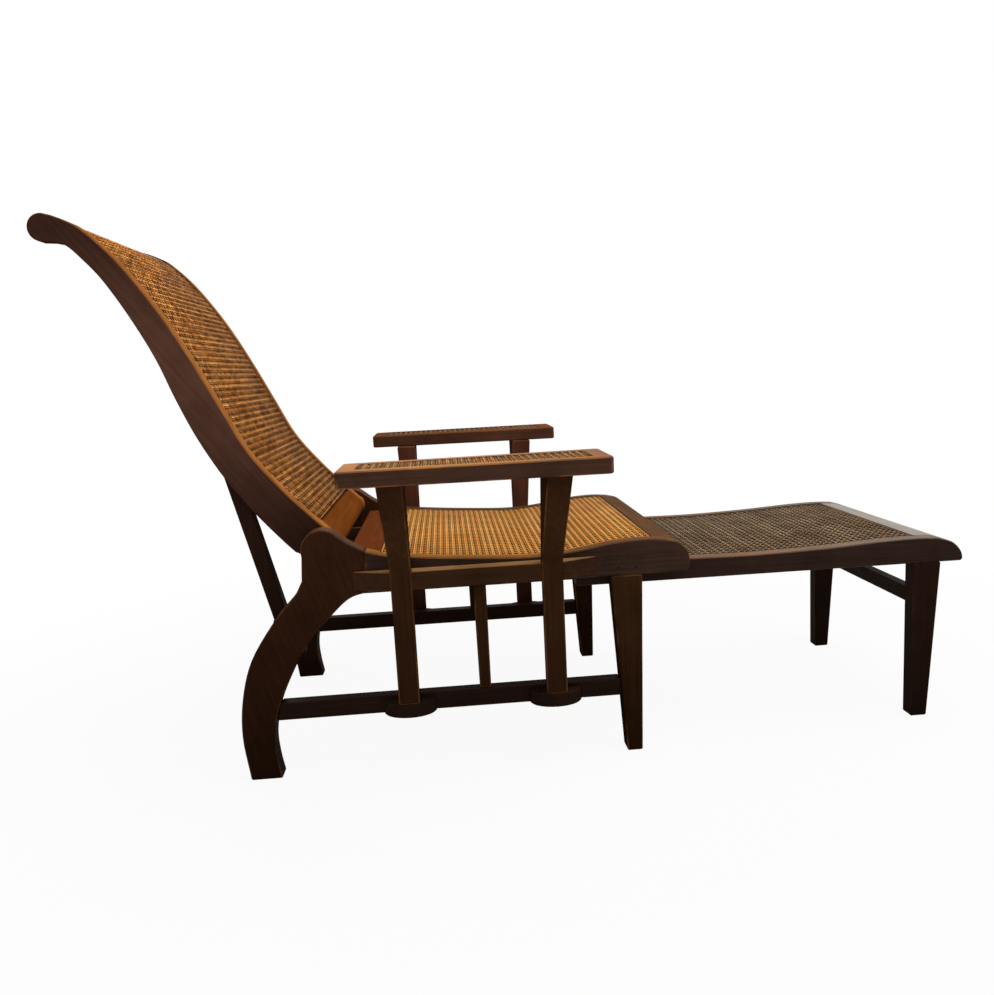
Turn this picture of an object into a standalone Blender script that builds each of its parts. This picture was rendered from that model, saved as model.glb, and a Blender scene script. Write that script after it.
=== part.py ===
"""Steamer chair: a caned lounging chair with a propped back and a pull-out footrest.

Metres, Z up. X runs from the back of the chair towards the footrest, Y is the sitter's left.
Outlines are written with X counted from the front edge of the front feet.
The finished part is shifted so that its origin is on the floor under the middle of its length.
"""

import math

import bmesh
import bpy
from mathutils import Matrix, Vector

# Fits between pieces
GAP = 0.0003            # left between pieces that are glued or pegged together
SIDE_PLAY = 0.002       # left between pieces that slide or turn past one another
PIN_PLAY = 0.0003       # left round a pin or a peg in its hole
EASED_EDGE = 0.0022     # width taken off the plank edges

# Side frames: every plank lies in one plane between these two faces
PLANK_OUT = 0.275
PLANK = 0.035
PLANK_IN = PLANK_OUT - PLANK

# Seat: underside of the side rails, their joint to the rear legs, and their rounded noses
RAIL_BOTTOM = 0.346
JOINT_X = -0.500
JOINT_DEPTH = 0.0755    # height of the rail where it meets the rear leg
NOSE_X = 0.0965
NOSE = 0.0465           # length of the rounded nose
LEG_SWEEP = 0.2485      # how far the rear leg sweeps back behind the joint
SEAT_FRONT_X = 0.031    # front end of the seat cane
SEAT_INSET = 0.026      # rear end of the seat cane, in front of the joint
SEAT_REAR_X = JOINT_X + SEAT_INSET
REAR_BOARD = 0.063
REAR_BOARD_TOP = RAIL_BOTTOM + 0.848 * JOINT_DEPTH
BOARD = 0.025           # thickness of the rear board
FRONT_BOARD_BOTTOM = RAIL_BOTTOM + 0.49 * JOINT_DEPTH

# Caned panels, let into rebates in the wood beside them
CANE = 0.0045           # thickness of a panel
CANE_DROP = 0.004       # a panel lies this far below the wood round it
CANE_LIP = 0.024        # bare wood left outside a panel
CANE_BAR = 0.018        # width of the bars between the openings of a panel
OPENINGS_ACROSS = 8
SEAT_OPENINGS = 9       # from the rear board to the front board
BACK_OPENINGS = 14      # from the foot of the back to its scroll
FOOT_OPENINGS = 13      # along the footrest

# Back hinge, in the middle of the rear leg's rounded ear
HINGE_BEHIND = 0.076
HINGE_RISE = 0.082
HINGE = (JOINT_X - HINGE_BEHIND, RAIL_BOTTOM + HINGE_RISE)
EAR_RADIUS = 0.0375
HINGE_PIN_RADIUS = 0.006
HINGE_PIN_DEPTH = 0.022

# Back frame
STILE_OUT = PLANK_IN - SIDE_PLAY
STILE = 0.032
STILE_IN = STILE_OUT - STILE
STILE_FOOT_RADIUS = 0.030
BACK_SWEEP = 0.427      # how far the scroll lies behind the hinge
BACK_RISE = 0.5815      # and how far above it
SCROLL = (HINGE[0] - BACK_SWEEP, HINGE[1] + BACK_RISE)
SCROLL_RADIUS = 0.0236
BACK_CANE_FOOT = HINGE[1] + 0.079 * BACK_RISE
SCROLL_START_DEG = 80   # the stile's front edge runs into its scroll at this angle
BACK_CANE_END_DEG = 90  # and the cane ends at this one, on top of the scroll
CREST_RADIUS = SCROLL_RADIUS - CANE_DROP - CANE - GAP
BOTTOM_RAIL = 0.034
BOTTOM_RAIL_HEIGHT = 0.062
BOTTOM_RAIL_ROUND = 0.0165

# Prop: two struts on a rod across the back, slotted over a bar between the rear legs
RAISE_DEG = 22.0        # how far the back can be raised from its lowest position
PROP_BEHIND = 0.175
PROP_RISE = 0.187
PROP_PIVOT = (HINGE[0] - PROP_BEHIND, HINGE[1] + PROP_RISE)
PROP_LEAN_DEG = 13.3    # from upright, foot towards the seat
PROP_REACH = 0.360      # from the rod to the bar with the back at its lowest
STRUT = 0.028
STRUT_OUT = STILE_IN - SIDE_PLAY / 2
STRUT_IN = STRUT_OUT - STRUT
STRUT_HALF = 0.0135
PADDLE_HALF = 0.023
PADDLE_END = 0.016      # wood left under the slot
PADDLE_TOP = 0.002      # the foot has its full width from this far above the slot
PADDLE_SLOPE = 0.015    # and widens to it over this length
ROD_RADIUS = 0.009
ROD_DEPTH = 0.015
BAR_RADIUS = 0.008
SLOT_PLAY = 0.0012
NOTCH_DEPTH = 0.006
NOTCH_LIP = 0.005       # slope that lets the bar slip back out of the notch

# Front legs and lower side frame
FRONT_LEG_TOP = 0.0585
FRONT_LEG_FOOT = 0.029
FRONT_LEG_SWELL = 0.0065  # the front edge leans forward by this much at the top
STRETCHER_INSET = 0.003
STRETCHER_OUT = PLANK_OUT - STRETCHER_INSET
STRETCHER = 0.027
STRETCHER_BOTTOM = 0.112
STRETCHER_HEIGHT = 0.033
STRETCHER_TOP = STRETCHER_BOTTOM + STRETCHER_HEIGHT
MIDDLE_POST_X = -0.284
MIDDLE_POST = 0.022
MIDDLE_POST_FOOT = 0.021
MIDDLE_POST_HEAD = 0.0235
PEG_RADIUS = 0.0028
PEG_DEPTH = 0.008
PEG_LIFT = 0.014        # above the underside of the seat rail
PEG_HEIGHT = RAIL_BOTTOM + PEG_LIFT
RAIL_PEGS = {"rear": -0.65 * FRONT_LEG_TOP, "front": -0.10 * FRONT_LEG_TOP}
STRETCHER_PEG_INSET = 0.006

# Arm supports outside the seat rail
LEDGE = 0.028
LEDGE_WEB = 0.010       # wood left behind the notches for the arm posts
LEDGE_OUT = PLANK_OUT + LEDGE
LEDGE_LIFT = 0.007      # above the underside of the seat rail
LEDGE_HEIGHT = 0.033
LEDGE_TAIL = 0.022      # past the joint, over the rear leg
LEDGE_BOTTOM = RAIL_BOTTOM + LEDGE_LIFT
LEDGE_TOP = LEDGE_BOTTOM + LEDGE_HEIGHT
LEDGE_REAR_X = JOINT_X - LEDGE_TAIL
LEDGE_FRONT_X = -0.080
POST_WIDTH = 0.038
POST_HEAD_WIDTH = 0.044
POST_IN = PLANK_OUT + LEDGE_WEB + GAP
POST_PROUD = 0.002      # the posts stand this far out of the ledge
POST_OUT = LEDGE_OUT + POST_PROUD
POST_SPREAD = 0.083     # how much further out the head of a post reaches
POST_HEAD_OUT = POST_OUT + POST_SPREAD
POST_INSET = 0.064      # foot of the rear post, in front of the joint
FRONT_POST_X = -0.164
POST_X = {"rear": JOINT_X + POST_INSET, "front": FRONT_POST_X}
POST_LEAN = {"rear": -0.004, "front": 0.009}  # how far the head of a post stands in front of its foot
BLOCK_HEIGHT = 0.026
BLOCK_TOP = STRETCHER_BOTTOM + BLOCK_HEIGHT
BLOCK_HALF = 0.049
BLOCK_REACH = POST_OUT - STRETCHER_OUT

# Arms
ARM_BOTTOM = 0.557
ARM = 0.028
ARM_TOP = ARM_BOTTOM + ARM
ARM_TAIL = 0.022        # past the joint, behind the rear post
ARM_REAR_X = JOINT_X - ARM_TAIL
ARM_FRONT_X = -0.071
ARM_CLEARANCE = 0.009   # inner edge of the arm, outside the seat rail
ARM_TAPER = 0.016       # the arm is this much narrower at its rear
ARM_WIDTH = 0.1415
ARM_IN_FRONT = PLANK_OUT + ARM_CLEARANCE
ARM_IN_REAR = ARM_IN_FRONT + ARM_TAPER
ARM_OUT = ARM_IN_FRONT + ARM_WIDTH
ARM_CORNER = 0.010
ARM_MARGIN = 0.024
ARM_END_MARGIN = 0.030
WINDOW_CORNER = 0.006

# Runner on the inside of each seat rail, grooved for the footrest's tongue
RUNNER = 0.0139
RUNNER_IN = PLANK_IN - GAP - RUNNER
RUNNER_DROP = 0.011     # the runner hangs this far below the seat rail
RUNNER_HEIGHT = 0.037
RUNNER_BOTTOM = RAIL_BOTTOM - RUNNER_DROP
RUNNER_TOP = RUNNER_BOTTOM + RUNNER_HEIGHT
RUNNER_FRONT_X = -0.008
RUNNER_TAIL = 0.100     # past the joint, along the rear leg
RUNNER_REAR_X = JOINT_X - RUNNER_TAIL
GROOVE_PLAY = 0.001

# Footrest, drawn right out as it stands at rest
FOOT_PLAY = 0.0008
FOOT_OUT = RUNNER_IN - FOOT_PLAY
FOOT_RAIL = 0.030
FOOT_IN = FOOT_OUT - FOOT_RAIL
FOOT_DROP = 0.029       # underside of the footrest, below the seat rail's
FOOT_BOTTOM = RAIL_BOTTOM - FOOT_DROP
FOOT_REAR_X = -0.110
FOOT_NOSE_X = 0.657
FOOT_NOSE = 0.051       # length of the rounded nose
FOOT_RAIL_HEIGHT = 0.050
FOOT_BOARD = 0.022
FOOT_REAR_BOARD = 0.048
FOOT_REAR_TOP = FOOT_BOTTOM + 0.79 * FOOT_RAIL_HEIGHT
FOOT_FRONT_BOARD = 0.085
FOOT_CANE_FRONT_X = FOOT_NOSE_X - FOOT_FRONT_BOARD
FOOT_LEG_INSET = 0.100  # from the nose to the rear edge of the leg at its top
FOOT_LEG_X = FOOT_NOSE_X - FOOT_LEG_INSET
FOOT_LEG_TOP = 0.056
FOOT_LEG_FOOT = 0.033
FOOT_STRETCHER = 0.024
FOOT_STRETCHER_BOTTOM = 0.229
FOOT_STRETCHER_HEIGHT = 0.030
FOOT_STRETCHER_INSET = 0.0045
TONGUE = 0.080          # length of the tongue that rides in the runner
TONGUE_LIFT = 0.007     # above the underside of the runner
TONGUE_HEIGHT = 0.011
TONGUE_BOTTOM = RUNNER_BOTTOM + TONGUE_LIFT
TONGUE_TOP = TONGUE_BOTTOM + TONGUE_HEIGHT
TONGUE_REACH = 0.0065
TONGUE_OUT = FOOT_OUT + TONGUE_REACH

# Sitter's left and right, as the sign of Y
SIDES = {"left": 1, "right": -1}

# The origin lies under the middle of the whole length, scroll to footrest nose
SHIFT_X = (SCROLL_RADIUS - SCROLL[0] - FOOT_NOSE_X) / 2

# Point on the axis of each moving group, X and Z
PIVOTS = {"frame": (0.0, 0.0), "back": HINGE, "prop": PROP_PIVOT, "footrest": (0.0, 0.0)}


# Curves and outlines

def smooth(points, steps=5):
    """Points on a curve that passes through all the given points."""
    ends = [Vector(p) for p in points]
    line = [2 * ends[0] - ends[1]] + ends + [2 * ends[-1] - ends[-2]]
    curve = [tuple(ends[0])]
    for a, b, c, d in zip(line, line[1:], line[2:], line[3:]):
        for step in range(1, steps + 1):
            t = step / steps
            point = b * 2 + (c - a) * t
            point = point + (a * 2 - b * 5 + c * 4 - d) * t ** 2
            point = point + (b * 3 - a - c * 3 + d) * t ** 3
            curve.append(tuple(point / 2))
    return curve


def arc(centre, radius, start_deg, end_deg, steps):
    """Points on a circle from one angle to another, both ends included."""
    points = []
    for step in range(steps + 1):
        angle = math.radians(start_deg + (end_deg - start_deg) * step / steps)
        points.append((centre[0] + radius * math.cos(angle), centre[1] + radius * math.sin(angle)))
    return points


def scaled(points, origin, width, height):
    """Points that were written from some origin, as shares of a width and a height."""
    return [(origin[0] + x * width, origin[1] + z * height) for x, z in points]


def offset(line, distance):
    """The same line moved sideways, to its left as it runs."""
    aside = []
    for i, point in enumerate(line):
        before = Vector(line[max(i - 1, 0)])
        after = Vector(line[min(i + 1, len(line) - 1)])
        along = (after - before).normalized()
        aside.append((point[0] - along.y * distance, point[1] + along.x * distance))
    return aside


def height_at(line, x):
    """Second coordinate of a line that runs along X, at one X."""
    for (xa, za), (xb, zb) in zip(line, line[1:]):
        if min(xa, xb) <= x <= max(xa, xb) and xa != xb:
            return za + (zb - za) * (x - xa) / (xb - xa)
    raise ValueError(f"the line has no point at {x}")


def x_at(line, z):
    """First coordinate of a line that runs upwards or downwards, at one height."""
    return height_at([(b, a) for a, b in line], z)


def between(line, low, high):
    """The stretch of a line along X from low to high, with exact ends."""
    inside = [p for p in line if low < p[0] < high]
    return [(low, height_at(line, low))] + inside + [(high, height_at(line, high))]


def above(line, z):
    """The part of a line that lies higher than z, with an exact end on z."""
    return [p for p in line if p[1] > z + GAP] + [(x_at(line, z), z)]


def lowered(line, drop):
    """The same line, so far below."""
    return [(x, z - drop) for x, z in line]


def longer(line):
    """The same line with a small gap's length added at both ends."""
    first = Vector(line[0]) + (Vector(line[0]) - Vector(line[1])).normalized() * GAP
    last = Vector(line[-1]) + (Vector(line[-1]) - Vector(line[-2])).normalized() * GAP
    return [tuple(first)] + list(line) + [tuple(last)]


def grid_edges(length, count):
    """Where bars and openings end along a length that starts and finishes with a bar."""
    pitch = (length - CANE_BAR) / count
    edges = [0.0]
    for number in range(count):
        edges += [number * pitch + CANE_BAR, (number + 1) * pitch]
    return edges + [length]


def point_along(line, distance):
    """Point at a distance along a line from its start."""
    for a, b in zip(line, line[1:]):
        step = math.dist(a, b)
        if distance <= step:
            return tuple(Vector(a).lerp(Vector(b), distance / step))
        distance -= step
    return line[-1]


def with_grid_edges(line, count):
    """The line with points only where the bars and openings of a caned panel end."""
    length = sum(math.dist(a, b) for a, b in zip(line, line[1:]))
    return [point_along(line, edge) for edge in grid_edges(length, count)]


def rounded_box(low, high, radius, steps=4):
    """Outline of a rectangle with rounded corners."""
    corners = [
        ((high[0] - radius, low[1] + radius), -90),
        ((high[0] - radius, high[1] - radius), 0),
        ((low[0] + radius, high[1] - radius), 90),
        ((low[0] + radius, low[1] + radius), 180),
    ]
    outline = []
    for centre, start in corners:
        outline += arc(centre, radius, start, start + 90, steps)
    return outline


def without_repeats(outline):
    """The outline without points that fall on the one before them."""
    kept = []
    for point in outline:
        if not kept or math.dist(point, kept[-1]) > GAP / 2:
            kept.append(point)
    return kept


# Solids

def prism(outline, low, high, along="Y"):
    """Closed solid swept from an outline: in X and Z along Y, or in X and Y along Z."""
    solid = bmesh.new()
    rings = []
    for level in (low, high):
        if along == "Y":
            rings.append([solid.verts.new((a, level, b)) for a, b in outline])
        else:
            rings.append([solid.verts.new((a, b, level)) for a, b in outline])
    count = len(outline)
    for i in range(count):
        j = (i + 1) % count
        solid.faces.new((rings[0][i], rings[0][j], rings[1][j], rings[1][i]))
    solid.faces.new(rings[0][::-1])
    solid.faces.new(rings[1])
    bmesh.ops.recalc_face_normals(solid, faces=solid.faces)
    return solid


def box(x0, x1, y0, y1, z0, z1):
    """Closed block between two corners."""
    return prism([(x0, z0), (x1, z0), (x1, z1), (x0, z1)], y0, y1)


def rod(centre, radius, low, high, sides=24):
    """Round bar along Y."""
    return prism(arc(centre, radius, 0, 360 - 360 / sides, sides - 1), low, high)


def grille(top, under, half, clear, openings):
    """Closed sheet between two lines, open in every second step along and across between the rails."""
    edges = [edge - clear for edge in grid_edges(2 * clear, OPENINGS_ACROSS)]
    stations = [-half] + edges[1:-1] + [half]
    rows = len(top) - 1
    columns = len(stations) - 1

    def filled(i, j):
        opening = i % 2 and j % 2 and i < 2 * openings
        return 0 <= i < rows and 0 <= j < columns and not opening

    solid = bmesh.new()
    upper = [[solid.verts.new((x, y, z)) for y in stations] for x, z in top]
    lower = [[solid.verts.new((x, y, z)) for y in stations] for x, z in under]
    for i in range(rows):
        for j in range(columns):
            if not filled(i, j):
                continue
            corners = [(i, j), (i + 1, j), (i + 1, j + 1), (i, j + 1)]
            beside = [(i, j - 1), (i + 1, j), (i, j + 1), (i - 1, j)]
            over = [upper[a][b] for a, b in corners]
            below = [lower[a][b] for a, b in corners]
            solid.faces.new(over)
            solid.faces.new(below[::-1])
            for k, neighbour in enumerate(beside):
                if not filled(*neighbour):
                    solid.faces.new((over[k], below[k], below[k - 3], over[k - 3]))
    bmesh.ops.recalc_face_normals(solid, faces=solid.faces)
    return solid


def add_object(name, group, solid):
    """An object hung on its group's axis."""
    pivot = PIVOTS[group]
    mesh = bpy.data.meshes.new(name)
    solid.to_mesh(mesh)
    solid.free()
    mesh.transform(Matrix.Translation((-pivot[0], 0, -pivot[1])))
    piece = bpy.data.objects.new(name, mesh)
    bpy.context.collection.objects.link(piece)
    piece.parent = GROUPS[group]
    return piece


def add_piece(name, group, solid, material, eased=EASED_EDGE, holes=()):
    """One named piece with its material, its eased edges and then its holes."""
    piece = add_object(name, group, solid)
    piece.data.materials.append(material)
    if eased:
        ease = piece.modifiers.new("eased edges", "BEVEL")
        ease.width = eased
        ease.segments = 1
        ease.limit_method = "ANGLE"
        ease.angle_limit = math.radians(40)
    for number, hole in enumerate(holes):
        cut = piece.modifiers.new(f"hole {number}", "BOOLEAN")
        cut.solver = "EXACT"
        cut.operation = "DIFFERENCE"
        cut.object = add_object(f"{name}_hole_{number}", group, hole)
        cut.object.hide_render = True
        cut.object.display_type = "WIRE"
    piece.data.shade_smooth()
    piece.data.set_sharp_from_angle(angle=math.radians(30))


def add_groups():
    """An empty on the axis of each group of pieces that move together."""
    groups = {}
    for name, (x, z) in PIVOTS.items():
        group = bpy.data.objects.new(f"{name}_axis", None)
        group.location = (x + SHIFT_X, 0, z)
        bpy.context.collection.objects.link(group)
        groups[name] = group
    return groups


def add_material(name, colour, roughness):
    """Plain wood or cane."""
    material = bpy.data.materials.new(name)
    material.use_nodes = True
    shader = material.node_tree.nodes["Principled BSDF"]
    shader.inputs["Base Color"].default_value = (*colour, 1)
    shader.inputs["Roughness"].default_value = roughness
    shader.inputs["Metallic"].default_value = 0.0
    material.diffuse_color = (*colour, 1)
    return material


def span(side, inner, outer):
    """Y range of a piece on one side, low first."""
    return sorted((side * inner, side * outer))


def across(half):
    """Y range of a piece that fits between two faces at this half-width."""
    return (GAP - half, half - GAP)


# Lines that several pieces share

def rail_top_line():
    """Top of the seat rail from the rear joint to where the nose starts, hollowed for the sitter."""
    hollow = scaled([
        (1.0, 1.0), (0.93, 0.881), (0.80, 0.781), (0.60, 0.675), (0.40, 0.609), (0.26, 0.662), (0.09, 0.828),
    ], (0, RAIL_BOTTOM), JOINT_X, JOINT_DEPTH)
    front = scaled([(-0.785, 0.868), (0.0, 0.834)], (NOSE_X - NOSE, RAIL_BOTTOM), NOSE, JOINT_DEPTH)
    return smooth(hollow + front)


def rail_nose_line():
    """Rounded front of the seat rail, down to its lower corner."""
    return smooth(scaled([
        (-1.0, 0.834), (-0.441, 0.742), (-0.097, 0.530), (0.0, 0.265), (-0.075, 0.0),
    ], (NOSE_X, RAIL_BOTTOM), NOSE, JOINT_DEPTH), 4)


def leg_front_line():
    """Front edge of the rear leg: the bracket under the seat rail, then the shank to the floor."""
    return smooth(scaled([
        (0.0, 1.0), (-0.141, 0.968), (-0.298, 0.867), (-0.451, 0.751), (-0.596, 0.578),
        (-0.708, 0.408), (-0.761, 0.246), (-0.757, 0.116), (-0.732, 0.0),
    ], (JOINT_X, 0), LEG_SWEEP, RAIL_BOTTOM))


def leg_back_line():
    """Back edge of the rear leg, from the floor up to the ear."""
    return smooth(scaled([
        (-0.966, 0.0), (-1.0, 0.246), (-0.970, 0.462), (-0.877, 0.671),
        (-0.684, 0.879), (-0.531, 1.0), (-0.465, 1.081),
    ], (JOINT_X, 0), LEG_SWEEP, RAIL_BOTTOM))


def stile_front_line():
    """Front edge of the back stile, from beside the hinge up to the scroll."""
    return smooth(scaled([
        (0.047, 0.034), (-0.056, 0.110), (-0.152, 0.186), (-0.279, 0.308), (-0.379, 0.456),
        (-0.482, 0.609), (-0.595, 0.760), (-0.731, 0.903), (-0.848, 0.9905), (-0.907, 1.0172),
        (-0.955, 1.0325),
    ], HINGE, BACK_SWEEP, BACK_RISE))


def stile_back_line():
    """Back edge of the back stile, from under the scroll down to the heel."""
    return smooth(scaled([
        (-0.972, 0.9596), (-0.916, 0.9467), (-0.8595, 0.906), (-0.787, 0.840), (-0.6955, 0.7257),
        (-0.616, 0.605), (-0.555, 0.483), (-0.4825, 0.3577), (-0.3865, 0.2305), (-0.274, 0.115),
        (-0.1755, 0.029), (-0.124, -0.012),
    ], HINGE, BACK_SWEEP, BACK_RISE))


def scroll_line():
    """Rolled end of the stile, over the top and round to its underside."""
    return arc(SCROLL, SCROLL_RADIUS, SCROLL_START_DEG, 250, 14)


def foot_top_line():
    """Top of the footrest rail up to where its nose starts."""
    hollow = scaled([
        (0.122, 0.81), (0.35, 0.77), (0.571, 0.84), (0.761, 0.97), (0.8615, 1.0),
    ], (0, FOOT_BOTTOM), FOOT_NOSE_X, FOOT_RAIL_HEIGHT)
    rear = (FOOT_REAR_X, FOOT_BOTTOM + 0.82 * FOOT_RAIL_HEIGHT)
    front = (FOOT_NOSE_X - FOOT_NOSE, FOOT_BOTTOM + 0.96 * FOOT_RAIL_HEIGHT)
    return smooth([rear] + hollow + [front])


def foot_nose_line():
    """Rounded front of the footrest rail."""
    return smooth(scaled([
        (-1.0, 0.96), (-0.451, 0.78), (-0.118, 0.46), (0.0, 0.16), (-0.039, 0.0),
    ], (FOOT_NOSE_X, FOOT_BOTTOM), FOOT_NOSE, FOOT_RAIL_HEIGHT), 4)


def seat_cane_line():
    """Top of the seat rails beside the seat's cane."""
    line = between(rail_top_line(), SEAT_REAR_X + GAP, SEAT_FRONT_X - GAP)
    return with_grid_edges(line, SEAT_OPENINGS)


def back_cane_line():
    """Front edge of the stiles beside the back's cane, on to the top of the scroll."""
    front = stile_front_line()
    foot = (x_at(front, BACK_CANE_FOOT), BACK_CANE_FOOT)
    front = [foot] + [p for p in front if p[1] > BACK_CANE_FOOT + GAP]
    over_scroll = arc(SCROLL, SCROLL_RADIUS, SCROLL_START_DEG, BACK_CANE_END_DEG, 2)
    return with_grid_edges(front, BACK_OPENINGS) + over_scroll


def foot_cane_line():
    """Top of the footrest rails beside the footrest's cane."""
    line = foot_top_line() + foot_nose_line()[1:]
    line = between(line, FOOT_REAR_X + FOOT_REAR_BOARD + GAP, FOOT_CANE_FRONT_X - GAP)
    return with_grid_edges(line, FOOT_OPENINGS)


def front_leg_rear_line():
    """Rear edge of the front leg, from its top to the floor."""
    return [(FRONT_LEG_SWELL - FRONT_LEG_TOP, RAIL_BOTTOM - GAP), (-FRONT_LEG_FOOT, 0.0)]


# Prop geometry: positions along the strut are counted downwards from its rod

def prop_point(reach, sideways):
    """Point on the strut: so far down from the rod, and so far towards the seat."""
    lean = math.radians(PROP_LEAN_DEG)
    x = PROP_PIVOT[0] + reach * math.sin(lean) + sideways * math.cos(lean)
    z = PROP_PIVOT[1] - reach * math.cos(lean) + sideways * math.sin(lean)
    return (x, z)


def raised_prop():
    """With the back fully raised: distance from rod to bar, and the strut's turn on the back."""
    bar = prop_point(PROP_REACH, 0)
    turn = math.radians(RAISE_DEG)
    dx = PROP_PIVOT[0] - HINGE[0]
    dz = PROP_PIVOT[1] - HINGE[1]
    rod_x = HINGE[0] + dx * math.cos(turn) + dz * math.sin(turn)
    rod_z = HINGE[1] - dx * math.sin(turn) + dz * math.cos(turn)
    lean = math.degrees(math.atan2(bar[0] - rod_x, rod_z - bar[1]))
    reach = math.hypot(bar[0] - rod_x, bar[1] - rod_z)
    return reach, PROP_LEAN_DEG - lean - RAISE_DEG


# Caned panels and the rebates they lie in

def level_panel(line, inner, outer, openings):
    """Caned panel just under a line along the chair, lapped over the rails beside it."""
    top = lowered(line, CANE_DROP)
    under = lowered(line, CANE_DROP + CANE)
    return grille(top, under, outer - CANE_LIP, inner, openings)


def level_rebate(line, side, inner, outer):
    """Cutter for the rebate of such a panel in the top of a side rail."""
    line = longer(line)
    section = lowered(line, -CANE_DROP) + lowered(line, CANE_DROP + CANE + GAP)[::-1]
    return prism(section, *span(side, inner - GAP, outer - CANE_LIP + GAP))


def back_panel():
    """Caned panel just behind the front edge of the stiles, lapped over them."""
    line = back_cane_line()
    top = offset(line, CANE_DROP)
    under = offset(line, CANE_DROP + CANE)
    return grille(top, under, STILE_OUT - CANE_LIP, STILE_IN, BACK_OPENINGS)


def back_rebate(side):
    """Cutter for the rebate of that panel in the front of a stile."""
    line = longer(back_cane_line())
    section = offset(line, -CANE_DROP) + offset(line, CANE_DROP + CANE + GAP)[::-1]
    return prism(section, *span(side, STILE_IN - GAP, STILE_OUT - CANE_LIP + GAP))


# Frame pieces

def add_rear_leg(name, side, wood):
    """Curved plank with a bracket under the rail and a rounded ear for the hinge."""
    ear = arc(HINGE, EAR_RADIUS, 195, 55, 12)
    joint = (JOINT_X, RAIL_BOTTOM + JOINT_DEPTH)
    fall = smooth([ear[-1], (JOINT_X - 0.37 * HINGE_BEHIND, RAIL_BOTTOM + 1.22 * JOINT_DEPTH), joint])
    outline = leg_back_line() + ear + fall[1:] + leg_front_line()
    socket_end = PLANK_IN + HINGE_PIN_DEPTH + PIN_PLAY
    socket = rod(HINGE, HINGE_PIN_RADIUS + PIN_PLAY, *span(side, PLANK_IN - GAP, socket_end))
    add_piece(name, "frame", prism(outline, *span(side, PLANK_IN, PLANK_OUT)), wood, holes=[socket])


def add_seat_rail(name, side, wood):
    """Side rail of the seat: hollowed and rebated top, rounded nose, two pegs over the front leg."""
    line = rail_top_line() + rail_nose_line()[1:]
    line[0] = (JOINT_X + GAP, line[0][1])
    outline = line + [(JOINT_X + GAP, RAIL_BOTTOM)]
    holes = [level_rebate(seat_cane_line(), side, PLANK_IN, PLANK_OUT)]
    holes += [peg_hole(x, PEG_HEIGHT, PLANK_OUT, side) for x in RAIL_PEGS.values()]
    add_piece(name, "frame", prism(outline, *span(side, PLANK_IN, PLANK_OUT)), wood, holes=holes)


def stretcher_peg_point():
    """Middle of the peg near the front end of the stretcher."""
    z = STRETCHER_BOTTOM + 2 * STRETCHER_HEIGHT / 3
    return (x_at(front_leg_rear_line(), z) - GAP - STRETCHER_PEG_INSET, z)


def peg_hole(x, z, face, side):
    """Shallow round hole in an outer face."""
    return rod((x, z), PEG_RADIUS + PIN_PLAY, *span(side, face - PEG_DEPTH - GAP, face + GAP), sides=12)


def add_pegs(label, side, wood):
    """Round pegs that pin the joints over the front leg and at the stretcher."""
    pegs = {f"seat_{where}_peg": (x, PEG_HEIGHT, PLANK_OUT) for where, x in RAIL_PEGS.items()}
    pegs["stretcher_peg"] = (*stretcher_peg_point(), STRETCHER_OUT)
    for name, (x, z, face) in pegs.items():
        solid = rod((x, z), PEG_RADIUS, *span(side, face - PEG_DEPTH, face), sides=12)
        add_piece(f"{name}_{label}", "frame", solid, wood, eased=0)


def add_front_leg(name, side, wood):
    """Plain leg, tapered towards the floor."""
    front = [(0.0, 0.0), (FRONT_LEG_SWELL, RAIL_BOTTOM - GAP)]
    solid = prism(front_leg_rear_line() + front, *span(side, PLANK_IN, PLANK_OUT))
    add_piece(name, "frame", solid, wood)


def add_stretcher(name, side, wood):
    """Low side rail between the rear leg and the front leg."""
    low, high = STRETCHER_BOTTOM, STRETCHER_TOP
    rear, front = leg_front_line(), front_leg_rear_line()
    outline = [
        (x_at(rear, low) + GAP, low), (x_at(front, low) - GAP, low),
        (x_at(front, high) - GAP, high), (x_at(rear, high) + GAP, high),
    ]
    hole = peg_hole(*stretcher_peg_point(), STRETCHER_OUT, side)
    solid = prism(outline, *span(side, STRETCHER_OUT - STRETCHER, STRETCHER_OUT))
    add_piece(name, "frame", solid, wood, holes=[hole])


def add_middle_post(name, side, wood):
    """Thin tapered post from the stretcher up to the seat rail."""
    low, high = STRETCHER_TOP + GAP, RAIL_BOTTOM - GAP
    outline = [
        (MIDDLE_POST_X - MIDDLE_POST_FOOT, low), (MIDDLE_POST_X, low),
        (MIDDLE_POST_X, high), (MIDDLE_POST_X - MIDDLE_POST_HEAD, high),
    ]
    middle = STRETCHER_OUT - STRETCHER / 2
    faces = span(side, middle - MIDDLE_POST / 2, middle + MIDDLE_POST / 2)
    add_piece(name, "frame", prism(outline, *faces), wood)


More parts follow.
